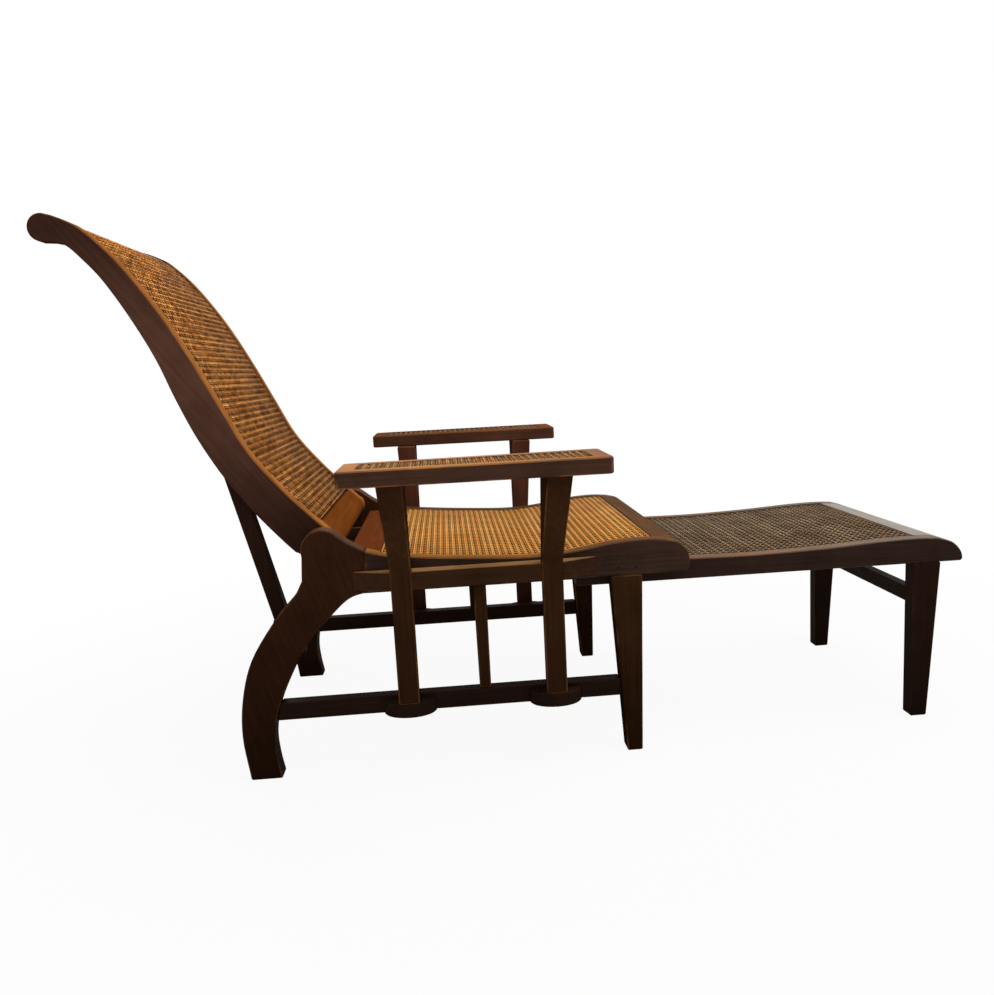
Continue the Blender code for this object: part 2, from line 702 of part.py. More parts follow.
def add_ledge(name, side, wood):
    """Outer rail along the seat rail: pointed ends, and a notch for each arm post."""
    inner = PLANK_OUT + GAP
    tip = inner + EASED_EDGE
    notch = POST_IN - GAP
    half = POST_WIDTH / 2 + GAP
    rear = (POST_X["rear"] - half, LEDGE_OUT)
    front = (POST_X["front"] + half, LEDGE_OUT)
    outline = [(LEDGE_FRONT_X, inner), (LEDGE_REAR_X, inner)]
    outline += smooth([(LEDGE_REAR_X, tip), ((LEDGE_REAR_X + rear[0]) / 2, inner + LEDGE / 2), rear], 3)
    for x in POST_X.values():
        outline += [(x - half, LEDGE_OUT), (x - half, notch), (x + half, notch), (x + half, LEDGE_OUT)]
    outline += smooth([front, ((front[0] + LEDGE_FRONT_X) / 2, inner + LEDGE / 2), (LEDGE_FRONT_X, tip)], 3)
    plan = [(x, side * y) for x, y in without_repeats(outline)]
    add_piece(name, "frame", prism(plan, LEDGE_BOTTOM, LEDGE_TOP, "Z"), wood, eased=EASED_EDGE / 2)


def add_post(name, side, foot_x, lean, wood):
    """Arm post: upright from its block to the ledge, then spreading out under the arm."""
    levels = [
        (BLOCK_TOP + GAP, foot_x, POST_WIDTH, POST_OUT),
        (LEDGE_TOP, foot_x, POST_WIDTH, POST_OUT),
        (ARM_BOTTOM - GAP, foot_x + lean, POST_HEAD_WIDTH, POST_HEAD_OUT),
    ]
    solid = bmesh.new()
    rings = []
    for z, x, width, out in levels:
        rear, front = x - width / 2, x + width / 2
        corners = [(rear, POST_IN), (front, POST_IN), (front, out), (rear, out)]
        rings.append([solid.verts.new((px, side * py, z)) for px, py in corners])
    for low, high in zip(rings, rings[1:]):
        for i in range(4):
            solid.faces.new((low[i - 1], low[i], high[i], high[i - 1]))
    solid.faces.new(rings[0])
    solid.faces.new(rings[-1])
    bmesh.ops.recalc_face_normals(solid, faces=solid.faces)
    add_piece(name, "frame", solid, wood)


def add_post_block(name, side, x, wood):
    """Half-moon block on the stretcher that carries the foot of an arm post."""
    face = STRETCHER_OUT + GAP
    outline = []
    for px, py in arc((0, 0), 1, 0, 180, 14):
        outline.append((x + px * BLOCK_HALF, side * (face + py * BLOCK_REACH)))
    add_piece(name, "frame", prism(outline, STRETCHER_BOTTOM, BLOCK_TOP, "Z"), wood)


def arm_outline(side, margin, end_margin, corner):
    """Plan of the arm, or of its window when margins are given; the inner edge tapers."""
    rear = ARM_REAR_X + end_margin
    front = ARM_FRONT_X - end_margin
    taper = (ARM_IN_FRONT - ARM_IN_REAR) / (ARM_FRONT_X - ARM_REAR_X)
    outline = []
    for x, y in rounded_box((rear, 0), (front, 1), corner):
        inner = ARM_IN_REAR + taper * (x - ARM_REAR_X) + margin
        outer = ARM_OUT - margin
        reach = inner + y if y < 0.5 else outer - (1 - y)
        outline.append((x, side * reach))
    return outline


def add_arm(name, side, wood):
    """Flat arm with rounded corners and a window for its cane."""
    plan = arm_outline(side, 0, 0, ARM_CORNER)
    window = arm_outline(side, ARM_MARGIN, ARM_END_MARGIN, WINDOW_CORNER)
    hole = prism(window, ARM_BOTTOM - ARM_CORNER, ARM_TOP + ARM_CORNER, "Z")
    add_piece(name, "frame", prism(plan, ARM_BOTTOM, ARM_TOP, "Z"), wood, holes=[hole])


def add_arm_cane(name, side, cane):
    """Caned panel set into the arm's window."""
    plan = arm_outline(side, ARM_MARGIN + GAP, ARM_END_MARGIN + GAP, WINDOW_CORNER - GAP)
    top = ARM_TOP - CANE_DROP
    add_piece(name, "frame", prism(plan, top - CANE, top, "Z"), cane, eased=0)


def add_seat_front_rail(wood):
    """Front board of the seat, its top rounded to the nose of the side rails."""
    line = rail_top_line() + rail_nose_line()[1:]
    top = [p for p in line if p[0] > SEAT_FRONT_X + GAP]
    top = [(SEAT_FRONT_X, height_at(line, SEAT_FRONT_X))] + above(top, FRONT_BOARD_BOTTOM)
    outline = top + [(SEAT_FRONT_X, FRONT_BOARD_BOTTOM)]
    add_piece("seat_front_rail", "frame", prism(outline, *across(PLANK_IN)), wood)


def add_seat_rear_rail(wood):
    """Rear board of the seat, in front of the back's bottom rail."""
    faces = across(PLANK_IN)
    solid = box(SEAT_REAR_X - REAR_BOARD, SEAT_REAR_X, *faces, REAR_BOARD_TOP - BOARD, REAR_BOARD_TOP)
    add_piece("seat_rear_rail", "frame", solid, wood)


def add_seat_cane(cane):
    """Caned panel of the seat, hollowed like the rails that it laps over."""
    solid = level_panel(seat_cane_line(), PLANK_IN, PLANK_OUT, SEAT_OPENINGS)
    add_piece("seat_cane", "frame", solid, cane, eased=0)


def add_runner(name, side, wood):
    """Grooved strip inside the seat rail that carries the rear of the footrest."""
    faces = span(side, RUNNER_IN, RUNNER_IN + RUNNER)
    body = box(RUNNER_REAR_X, RUNNER_FRONT_X, *faces, RUNNER_BOTTOM, RUNNER_TOP)
    groove = box(
        RUNNER_REAR_X - GAP, FOOT_REAR_X + TONGUE + GROOVE_PLAY,
        *span(side, RUNNER_IN - GAP, TONGUE_OUT + GROOVE_PLAY),
        TONGUE_BOTTOM - GROOVE_PLAY, TONGUE_TOP + GROOVE_PLAY,
    )
    add_piece(name, "frame", body, wood, eased=0, holes=[groove])


def add_prop_bar(wood):
    """Round bar between the rear legs that the slotted struts hook over."""
    solid = rod(prop_point(PROP_REACH, 0), BAR_RADIUS, *across(PLANK_IN))
    add_piece("prop_bar", "frame", solid, wood, eased=0)


def add_hinge_pin(name, side, wood):
    """Blind pin on which the back turns, half in the ear and half in the stile."""
    reach = span(side, STILE_OUT - HINGE_PIN_DEPTH, PLANK_IN + HINGE_PIN_DEPTH)
    add_piece(name, "frame", rod(HINGE, HINGE_PIN_RADIUS, *reach), wood, eased=0)


# Back pieces

def add_back_stile(name, side, wood):
    """Curved side of the back: rolled top, rebated front, rounded foot on the hinge."""
    foot = arc(HINGE, STILE_FOOT_RADIUS, 235, 400, 12)
    outline = stile_front_line() + scroll_line() + stile_back_line() + foot
    pin_end = STILE_OUT - HINGE_PIN_DEPTH - PIN_PLAY
    pin_hole = rod(HINGE, HINGE_PIN_RADIUS + PIN_PLAY, *span(side, pin_end, STILE_OUT + GAP))
    rod_end = STILE_IN + ROD_DEPTH + PIN_PLAY
    rod_hole = rod(PROP_PIVOT, ROD_RADIUS + PIN_PLAY, *span(side, STILE_IN - GAP, rod_end))
    solid = prism(outline, *span(side, STILE_IN, STILE_OUT))
    add_piece(name, "back", solid, wood, holes=[back_rebate(side), pin_hole, rod_hole])


def add_crest_rail(wood):
    """Round top rail between the scrolls, under the end of the cane."""
    add_piece("crest_rail", "back", rod(SCROLL, CREST_RADIUS, *across(STILE_IN)), wood, eased=0)


def add_back_bottom_rail(wood):
    """Rounded rail across the foot of the back, just above the seat."""
    line = stile_front_line()
    start = Vector((x_at(line, BACK_CANE_FOOT), BACK_CANE_FOOT))
    down = (Vector(line[0]) - start).normalized()
    front = Vector((-down.y, down.x))
    outline = []
    for along, out in rounded_box((GAP, -BOTTOM_RAIL), (BOTTOM_RAIL_HEIGHT, 0), BOTTOM_RAIL_ROUND):
        outline.append(tuple(start + down * along + front * out))
    add_piece("back_bottom_rail", "back", prism(outline, *across(STILE_IN)), wood, eased=0)


def add_back_cane(cane):
    """Caned panel of the back, swept like the stiles that it laps over."""
    add_piece("back_cane", "back", back_panel(), cane, eased=0)


# Prop pieces

def slot_outline():
    """Slot that slides over the bar, with a notch behind its lower end that holds the back up."""
    half = BAR_RADIUS + SLOT_PLAY
    lowest, _ = raised_prop()
    top = PROP_REACH - BAR_RADIUS - GAP
    outline = [
        (top, half), (top, -half), (lowest - half, -half), (lowest - half, -half - NOTCH_DEPTH),
        (lowest + half - NOTCH_LIP, -half - NOTCH_DEPTH), (lowest + half, -half), (lowest + half, half),
    ]
    return [prop_point(reach, sideways) for reach, sideways in outline]


def add_prop_strut(name, side, wood):
    """Strut from the rod down to the bar: round head, straight shank, wider slotted foot."""
    lowest, _ = raised_prop()
    end = lowest + BAR_RADIUS + PADDLE_END
    corner = PADDLE_HALF / 2
    wide = PROP_REACH - BAR_RADIUS - PADDLE_TOP
    front = [(0.0, STRUT_HALF), (wide - PADDLE_SLOPE, STRUT_HALF), (wide, PADDLE_HALF)]
    front += [(end - corner, PADDLE_HALF), (end, PADDLE_HALF - corner)]
    back = [(reach, -sideways) for reach, sideways in front[::-1]]
    head = arc((0, 0), STRUT_HALF, 270, 90, 8)[1:-1]
    outline = [prop_point(reach, sideways) for reach, sideways in front + back + head]
    hole = rod(PROP_PIVOT, ROD_RADIUS + PIN_PLAY, *span(side, STRUT_IN - GAP, STRUT_OUT + GAP))
    slot = prism(slot_outline(), *span(side, STRUT_IN - GAP, STRUT_OUT + GAP))
    solid = prism(outline, *span(side, STRUT_IN, STRUT_OUT))
    add_piece(name, "prop", solid, wood, holes=[hole, slot])


def add_prop_rod(wood):
    """Rod across the back that both struts are fixed to, free to turn in the stiles."""
    reach = STILE_IN + ROD_DEPTH
    add_piece("prop_rod", "prop", rod(PROP_PIVOT, ROD_RADIUS, -reach, reach), wood, eased=0)


# Footrest pieces

def add_footrest_rail(name, side, wood):
    """Side rail of the footrest, hollowed a little and rebated, with a rounded nose."""
    outline = foot_top_line() + foot_nose_line()[1:] + [(FOOT_REAR_X, FOOT_BOTTOM)]
    rebate = level_rebate(foot_cane_line(), side, FOOT_IN, FOOT_OUT)
    solid = prism(outline, *span(side, FOOT_IN, FOOT_OUT))
    add_piece(name, "footrest", solid, wood, holes=[rebate])


def add_footrest_tongue(name, side, wood):
    """Hardwood strip on the rear of the rail that slides in the runner's groove."""
    faces = span(side, FOOT_OUT + GAP, TONGUE_OUT)
    solid = box(FOOT_REAR_X, FOOT_REAR_X + TONGUE, *faces, TONGUE_BOTTOM, TONGUE_TOP)
    add_piece(name, "footrest", solid, wood, eased=0)


def add_footrest_front_rail(wood):
    """Front board of the footrest, rounded like the noses of its side rails."""
    line = foot_top_line() + foot_nose_line()[1:]
    bottom = FOOT_BOTTOM + FOOT_BOARD
    top = [p for p in line if p[0] > FOOT_CANE_FRONT_X + GAP]
    top = [(FOOT_CANE_FRONT_X, height_at(line, FOOT_CANE_FRONT_X))] + above(top, bottom)
    outline = top + [(FOOT_CANE_FRONT_X, bottom)]
    add_piece("footrest_front_rail", "footrest", prism(outline, *across(FOOT_IN)), wood)


def add_footrest_rear_rail(wood):
    """Rear board of the footrest, always under the seat."""
    front = FOOT_REAR_X + FOOT_REAR_BOARD
    solid = box(FOOT_REAR_X, front, *across(FOOT_IN), FOOT_REAR_TOP - FOOT_BOARD, FOOT_REAR_TOP)
    add_piece("footrest_rear_rail", "footrest", solid, wood)


def add_footrest_cane(cane):
    """Caned panel of the footrest, lapped over its rails."""
    solid = level_panel(foot_cane_line(), FOOT_IN, FOOT_OUT, FOOT_OPENINGS)
    add_piece("footrest_cane", "footrest", solid, cane, eased=0)


def add_footrest_leg(name, side, wood):
    """Leg of the footrest, tapered mostly on its front."""
    top = FOOT_BOTTOM - GAP
    heel = FOOT_LEG_X + (FOOT_LEG_TOP - FOOT_LEG_FOOT) / 6
    outline = [(heel, 0.0), (heel + FOOT_LEG_FOOT, 0.0), (FOOT_LEG_X + FOOT_LEG_TOP, top), (FOOT_LEG_X, top)]
    add_piece(name, "footrest", prism(outline, *span(side, FOOT_IN, FOOT_OUT)), wood)


def add_footrest_stretcher(wood):
    """Cross rail between the footrest legs."""
    rear = FOOT_LEG_X + (FOOT_LEG_FOOT - FOOT_STRETCHER) / 2 + FOOT_STRETCHER_INSET
    top = FOOT_STRETCHER_BOTTOM + FOOT_STRETCHER_HEIGHT
    solid = box(rear, rear + FOOT_STRETCHER, *across(FOOT_IN), FOOT_STRETCHER_BOTTOM, top)
    add_piece("footrest_stretcher", "footrest", solid, wood)


def add_side(label, side, wood, cane):
    """All the pieces that come in a left and a right."""
    add_rear_leg(f"rear_leg_{label}", side, wood)
    add_seat_rail(f"seat_rail_{label}", side, wood)
    add_front_leg(f"front_leg_{label}", side, wood)
    add_stretcher(f"stretcher_{label}", side, wood)
    add_middle_post(f"middle_post_{label}", side, wood)
    add_ledge(f"ledge_{label}", side, wood)
    for where, x in POST_X.items():
        add_post(f"{where}_post_{label}", side, x, POST_LEAN[where], wood)
        add_post_block(f"{where}_post_block_{label}", side, x, wood)
    add_arm(f"arm_{label}", side, wood)
    add_arm_cane(f"arm_cane_{label}", side, cane)
    add_runner(f"runner_{label}", side, wood)
    add_pegs(label, side, wood)
    add_hinge_pin(f"back_hinge_pin_{label}", side, wood)
    add_back_stile(f"back_stile_{label}", side, wood)
    add_prop_strut(f"prop_strut_{label}", side, wood)
    add_footrest_rail(f"footrest_rail_{label}", side, wood)
    add_footrest_tongue(f"footrest_tongue_{label}", side, wood)
    add_footrest_leg(f"footrest_leg_{label}", side, wood)


def add_middle(wood, cane, aged_cane):
    """The pieces that reach from side to side."""
    add_seat_front_rail(wood)
    add_seat_rear_rail(wood)
    add_seat_cane(cane)
    add_prop_bar(wood)
    add_crest_rail(wood)
    add_back_bottom_rail(wood)
    add_back_cane(cane)
    add_prop_rod(wood)
    add_footrest_front_rail(wood)
    add_footrest_rear_rail(wood)
    add_footrest_cane(aged_cane)
    add_footrest_stretcher(wood)


for leftover in list(bpy.data.objects):
    bpy.data.objects.remove(leftover, do_unlink=True)

GROUPS = add_groups()
dark_wood = add_material("dark_hardwood", (0.045, 0.026, 0.018), 0.42)
golden_cane = add_material("golden_cane", (0.46, 0.28, 0.10), 0.55)
grey_cane = add_material("aged_cane", (0.20, 0.14, 0.09), 0.6)
for label, side in SIDES.items():
    add_side(label, side, dark_wood, golden_cane)
add_middle(dark_wood, golden_cane, grey_cane)

reach, prop_turn = raised_prop()
print(f"hinge at X {HINGE[0] + SHIFT_X:.5f} Z {HINGE[1]:.5f}")
print(f"prop rod at X {PROP_PIVOT[0] + SHIFT_X:.5f} Z {PROP_PIVOT[1]:.5f}")
print(f"back raised {RAISE_DEG} degrees: bar {reach:.4f} m down, strut turned {prop_turn:.4f} degrees")
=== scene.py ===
# %% [markdown]
# A caned lounging chair: dark hardwood planks, a back that leans on a slotted prop, and a footrest that
# draws out from under the seat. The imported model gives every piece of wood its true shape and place, so
# the work here is the surface: the wood's grain and wear, and the open weave of the caned panels.

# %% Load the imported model
import math

import bpy
import numpy as np
from mathutils import Matrix, Vector


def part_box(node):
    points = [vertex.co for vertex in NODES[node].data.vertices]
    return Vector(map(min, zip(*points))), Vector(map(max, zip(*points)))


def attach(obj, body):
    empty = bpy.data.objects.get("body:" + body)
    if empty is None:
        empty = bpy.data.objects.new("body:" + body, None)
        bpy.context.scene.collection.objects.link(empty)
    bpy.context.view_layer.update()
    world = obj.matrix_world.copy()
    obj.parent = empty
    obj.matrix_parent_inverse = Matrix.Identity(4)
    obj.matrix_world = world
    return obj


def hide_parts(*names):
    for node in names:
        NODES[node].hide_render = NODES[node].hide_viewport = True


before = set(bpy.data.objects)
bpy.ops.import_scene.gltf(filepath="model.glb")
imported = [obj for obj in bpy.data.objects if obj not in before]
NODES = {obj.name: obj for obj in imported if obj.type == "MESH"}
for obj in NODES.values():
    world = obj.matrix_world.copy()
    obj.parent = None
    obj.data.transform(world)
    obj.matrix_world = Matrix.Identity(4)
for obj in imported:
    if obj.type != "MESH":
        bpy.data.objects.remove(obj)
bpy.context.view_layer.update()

MM = 0.001

# %% [markdown]
# The camera stood about 1.7 metres from the chair's middle, on the sitter's right and at the height of a
# table, and was tipped down by nine degrees. A camera in Blender looks along its own -Z, so it is first stood
# up to look along +Y, then tipped down, turned and rolled. The lens follows from a focal length that was
# fitted in pixels of a picture 994 wide.

# %% Camera
PICTURE_WIDTH = 994
FOCAL_PIXELS = 800
SENSOR_WIDTH = 36
CAMERA_AT = Vector((-0.1558, -1.696, 0.7321))
TURNED = math.radians(3.42)
TIPPED = math.radians(9.04)
ROLLED = math.radians(2.93)

lens = bpy.data.cameras.new("camera")
lens.sensor_width = SENSOR_WIDTH
lens.lens = FOCAL_PIXELS * lens.sensor_width / PICTURE_WIDTH
camera = bpy.data.objects.new("camera", lens)
turn = Matrix.Rotation(-TURNED, 4, "Z") @ Matrix.Rotation(math.pi / 2 - TIPPED, 4, "X")
camera.matrix_world = Matrix.Translation(CAMERA_AT) @ turn @ Matrix.Rotation(-ROLLED, 4, "Z")
bpy.context.collection.objects.link(camera)
bpy.context.scene.camera = camera
print("lens", round(lens.lens, 2), "mm")

# %% [markdown]
# Colours are written as they look on a screen, which is sRGB. Shaders work in linear light, so one function
# turns the one into the other. One more small function adds a shader node, sets its values and links it up,
# which keeps a whole material readable as a list of steps.

# %% Colours and nodes
def linear(hex_colour):
    """Linear RGBA of an sRGB colour written as #rrggbb."""
    rgba = []
    for start in (1, 3, 5):
        value = int(hex_colour[start:start + 2], 16) / 255
        rgba.append(value / 12.92 if value <= 0.04045 else ((value + 0.055) / 1.055) ** 2.4)
    return (*rgba, 1.0)


def add_node(tree, kind, settings=(), links=()):
    """A node of that kind: settings go to its sockets or its own options, links come into its sockets."""
    node = tree.nodes.new(kind)
    settings, links = dict(settings), dict(links)
    for name, value in settings.items():
        if hasattr(node, name):
            setattr(node, name, value)
    for socket in node.inputs:
        key = socket.identifier if socket.identifier in {*settings, *links} else socket.name
        if key in settings and socket.enabled:
            socket.default_value = settings[key]
        if key in links and socket.enabled:
            tree.links.new(links[key], socket)
    return node


def new_material(name):
    """An empty material with its output, and the shader that feeds it."""
    material = bpy.data.materials.new(name)
    material.use_nodes = True
    tree = material.node_tree
    return material, tree, tree.nodes["Principled BSDF"]


print("mid grey in linear light:", linear("#808080"))

# %% [markdown]
# The wood is a dense tropical hardwood, stained nearly black and rubbed with polish over many years. Its
# grain runs along each plank, as faint streaks a few millimetres wide, with finer pores between them that
# are drawn a little coarser than life so that they show. A picture of wood could be wrapped round each
# plank, but noise in the piece's own space needs no wrapping and stays in place when a piece moves.

# %% Grain
STREAK = 5 * MM
STREAK_LENGTH = 160 * MM
PORE = 1.6 * MM
PORE_LENGTH = 24 * MM
BLOTCH = 90 * MM


def add_grain(tree, place, grain):
    """Streaks and pores along the grain, and wide blotches, each as a noise value."""
    along = Vector(grain).to_track_quat("X", "Z").to_euler()
    streak_map = add_node(tree, "ShaderNodeMapping", {
        "vector_type": "TEXTURE", "Rotation": along, "Scale": (STREAK_LENGTH, STREAK, STREAK),
    }, {"Vector": place.outputs["Object"]})
    streaks = add_node(tree, "ShaderNodeTexNoise", {
        "Scale": 1.0, "Detail": 4.0, "Roughness": 0.6, "Distortion": 0.4,
    }, {"Vector": streak_map.outputs["Vector"]})
    pore_map = add_node(tree, "ShaderNodeMapping", {
        "vector_type": "TEXTURE", "Rotation": along, "Scale": (PORE_LENGTH, PORE, PORE),
    }, {"Vector": place.outputs["Object"]})
    pores = add_node(tree, "ShaderNodeTexNoise", {
        "Scale": 1.0, "Detail": 2.0, "Roughness": 0.5,
    }, {"Vector": pore_map.outputs["Vector"]})
    blotches = add_node(tree, "ShaderNodeTexNoise", {
        "Scale": 1 / BLOTCH, "Detail": 3.0, "Roughness": 0.55,
    }, {"Vector": place.outputs["Object"]})
    return streaks.outputs["Fac"], pores.outputs["Fac"], blotches.outputs["Fac"]


print("streaks", STREAK, "m wide, pores", PORE, "m wide")

# %% [markdown]
# The stain is a little lighter in the streaks and uneven in wide blotches. Its brightness also follows a list
# of
# heights, each with a share of the light: painted shade that darkens the wood towards the floor, and on the
# stiles darkens their foot and their scroll.

# %% Stain
TALL = 1.1
FLOOR_SHADE = ((0.0, 0.34), (0.20, 0.62), (0.42, 1.0))
STREAK_RANGE = {"From Min": 0.36, "From Max": 0.66}


def add_stain(tree, spot, streaks, blotches, dark, light, shade):
    """Colour of the stained wood, darkened by painted shade as the list of heights says."""
    tone = add_node(tree, "ShaderNodeMapRange", STREAK_RANGE, {"Value": streaks})
    stain = add_node(tree, "ShaderNodeMix", {
        "data_type": "RGBA", "A_Color": linear(dark), "B_Color": linear(light),
    }, {"Factor_Float": tone.outputs["Result"]})
    depth = add_node(tree, "ShaderNodeMapRange", {
        "From Min": 0.30, "From Max": 0.70, "To Min": 0.80, "To Max": 1.20,
    }, {"Value": blotches})
    level = add_node(tree, "ShaderNodeMath", {
        "operation": "DIVIDE", "Value_001": TALL, "use_clamp": True,
    }, {"Value": spot.outputs["Z"]})
    shading = add_node(tree, "ShaderNodeValToRGB", {}, {"Fac": level.outputs["Value"]})
    # A new ramp already has two stops.
    stops = shading.color_ramp.elements
    for i, (height, share) in enumerate(shade):
        stop = stops[i] if i < 2 else stops.new(height / TALL)
        stop.position = height / TALL
        stop.color = (share, share, share, 1)
    darkness = add_node(tree, "ShaderNodeMath", {
        "operation": "MULTIPLY",
    }, {"Value": depth.outputs["Result"], "Value_001": shading.outputs["Color"]})
    body = add_node(tree, "ShaderNodeVectorMath", {
        "operation": "SCALE",
    }, {"Vector": stain.outputs[2], "Scale": darkness.outputs["Value"]})
    return body.outputs["Vector"]


# The darkening below this height is painted shade.
print("stain darkens below", FLOOR_SHADE[-1][0], "m")

# %% [markdown]
# Where hands, clothes and sun have reached the wood, on the upper faces and the eased edges, the stain has
# worn through to the orange-brown wood below, and the same faces also carry painted light: faces turned up,
# or to the front on the stiles, are painted lighter as if lit from above, and the eased edges carry a painted
# highlight. Wear could be painted by hand on every plank. Here it is read from the surface's own direction,
# so that it suits each plank and stays in place when a piece moves.

# %% Wear and painted light
EDGE_TURN = 0.66
EDGE_SPAN = 0.22


def add_wear_and_light(tree, place, blotches, top, edge, up):
    """How far the stain has worn through or is painted lit, from 0 to 1, on upper faces and on eased edges.
    """
    facing = add_node(tree, "ShaderNodeVectorMath", {
        "operation": "DOT_PRODUCT", "Vector_001": Vector(up).normalized(),
    }, {"Vector": place.outputs["Normal"]})
    upper = add_node(tree, "ShaderNodeMapRange", {
        "From Min": 0.45, "From Max": 0.95, "To Max": top,
    }, {"Value": facing.outputs["Value"]})
    turned = add_node(tree, "ShaderNodeSeparateXYZ", {}, {"Vector": place.outputs["Normal"]})
    sideways = add_node(tree, "ShaderNodeMath", {"operation": "ABSOLUTE"}, {"Value": turned.outputs["Y"]})
    eased = add_node(tree, "ShaderNodeMath", {
        "operation": "COMPARE", "Value_001": EDGE_TURN, "Value_002": EDGE_SPAN,
    }, {"Value": sideways.outputs["Value"]})
    patchy = add_node(tree, "ShaderNodeMapRange", {
        "From Min": 0.42, "From Max": 0.58, "To Max": edge,
    }, {"Value": blotches})
    corner = add_node(tree, "ShaderNodeMath", {
        "operation": "MULTIPLY",
    }, {"Value": eased.outputs["Value"], "Value_001": patchy.outputs["Result"]})
    rubbed_and_lit = add_node(tree, "ShaderNodeMapRange", {
        "From Min": 0.32, "From Max": 0.60, "To Min": 0.6, "To Max": 1.0,
    }, {"Value": blotches})
    flat = add_node(tree, "ShaderNodeMath", {
        "operation": "MULTIPLY",
    }, {"Value": upper.outputs["Result"], "Value_001": rubbed_and_lit.outputs["Result"]})
    bare_and_lit = add_node(tree, "ShaderNodeMath", {
        "operation": "MAXIMUM",
    }, {"Value": flat.outputs["Value"], "Value_001": corner.outputs["Value"]})
    return bare_and_lit.outputs["Value"]


def add_worn_and_lit_wood(tree, spot, streaks, worn_and_lit, tone_along_chair):
    """Colour of the worn and painted-lit wood, which turns to a second tone between two places along the
    chair.
    """
    start, end, grey = tone_along_chair or (0.0, 1.0, worn_and_lit)
    along_chair = add_node(tree, "ShaderNodeMapRange", {
        "From Min": start, "From Max": end,
    }, {"Value": spot.outputs["X"]})
    worn_and_lit_wood = add_node(tree, "ShaderNodeMix", {
        "data_type": "RGBA", "A_Color": linear(worn_and_lit), "B_Color": linear(grey),
    }, {"Factor_Float": along_chair.outputs["Result"]})
    worn_and_lit_grain = add_node(tree, "ShaderNodeMapRange", {
        **STREAK_RANGE, "To Min": 0.72, "To Max": 1.08,
    }, {"Value": streaks})
    worn_and_lit_tone = add_node(tree, "ShaderNodeVectorMath", {
        "operation": "SCALE",
    }, {"Vector": worn_and_lit_wood.outputs[2], "Scale": worn_and_lit_grain.outputs["Result"]})
    return worn_and_lit_tone.outputs["Vector"]


print("eased edges look sideways by", round(EDGE_TURN - EDGE_SPAN, 2), "to", round(EDGE_TURN + EDGE_SPAN, 2))

# %% [markdown]
# Stain and the lighter bare wood are mixed by the wear and painted light. Old polish has sunk in, so the
# finish
# is dull: it is a little smoother in some blotches than in others, the pores are faintly raised, and most
# pieces reflect very little.

# %% Stained hardwood
WOOD_IOR = 1.5
PORE_RELIEF = 0.4 * MM


def stained_hardwood(name, grain, dark, light, worn_and_lit, top=0.6, edge=0.3, up=(0, 0, 1), shade=FLOOR_SHADE,
                     tone_along_chair=None, gloss=0.02):
    """Polished hardwood with its grain along one direction, worn and painted lighter on its upper faces and
    eased edges.
    """
    material, tree, shader = new_material(name)
    place = add_node(tree, "ShaderNodeTexCoord")
    spot = add_node(tree, "ShaderNodeSeparateXYZ", {}, {"Vector": place.outputs["Object"]})
    streaks, pores, blotches = add_grain(tree, place, grain)
    stain = add_stain(tree, spot, streaks, blotches, dark, light, shade)
    wear_and_light = add_wear_and_light(tree, place, blotches, top, edge, up)
    worn_and_lit_wood = add_worn_and_lit_wood(tree, spot, streaks, worn_and_lit, tone_along_chair)
    colour = add_node(tree, "ShaderNodeMix", {
        "data_type": "RGBA",
    }, {"Factor_Float": wear_and_light, "A_Color": stain, "B_Color": worn_and_lit_wood})
    polish = add_node(tree, "ShaderNodeMapRange", {
        "From Min": 0.3, "From Max": 0.7, "To Min": 0.43, "To Max": 0.60,
    }, {"Value": blotches})
    relief = add_node(tree, "ShaderNodeBump", {
        "Strength": 0.12, "Distance": PORE_RELIEF,
    }, {"Height": pores})
    tree.links.new(colour.outputs[2], shader.inputs["Base Color"])
    tree.links.new(polish.outputs["Result"], shader.inputs["Roughness"])
    tree.links.new(relief.outputs["Normal"], shader.inputs["Normal"])
    shader.inputs["IOR"].default_value = WOOD_IOR
    shader.inputs["Specular IOR Level"].default_value = gloss
    return material


print("wood has an IOR of", WOOD_IOR)

# %% [markdown]
# Each plank was sawn along its own length, so the grain turns with the piece: level in the rails, upright in
# the posts and legs, across in the boards, and along the chord of the curved stiles and rear legs. The boards
# that a sitter's back and legs rub against are paler than the frame round them. The tops of the footrest's
# rails turn from tan to grey towards its front, a painted sheen.

# %% Woods of the chair
TAN = "#96633a"
# Painted shade along the stile: darker at its foot and at its scroll.
STILE_SHADE = ((0.45, 0.26), (0.64, 0.85), (0.77, 1.0), (0.84, 0.94), (0.91, 0.74), (1.00, 0.48))
level_wood = stained_hardwood(
    "hardwood_grain_level", (1, 0, 0), "#33241d", "#3f2d25", TAN, top=0.8, edge=0.3)
near_rail_wood = stained_hardwood(
    "hardwood_near_rail", (1, 0, 0), "#35261f", "#412f27", "#a06a36", top=0.95, edge=0.4,
    tone_along_chair=(-0.05, 0.18, "#6a4a33"), gloss=0.0)
# The far seat rail's top is a darker copy of the near rail's, as painted shade.
far_rail_wood = stained_hardwood(
    "hardwood_far_rail", (1, 0, 0), "#33241d", "#3f2d25", "#6e4426", top=0.6, edge=0.2)
ledge_wood = stained_hardwood(
    "hardwood_ledge", (1, 0, 0), "#342015", "#3f2818", "#a97a4c", top=0.9, edge=0.15)
upright_wood = stained_hardwood(
    "hardwood_grain_upright", (0, 0, 1), "#362114", "#402817", TAN, top=0.2, edge=0.35, gloss=0.0)
# The far posts take a lighter copy of the upright wood, as painted light.
far_post_wood = stained_hardwood(
    "hardwood_far_post", (0, 0, 1), "#4a2a1e", "#543224", TAN, top=0.2, edge=0.25, gloss=0.0)
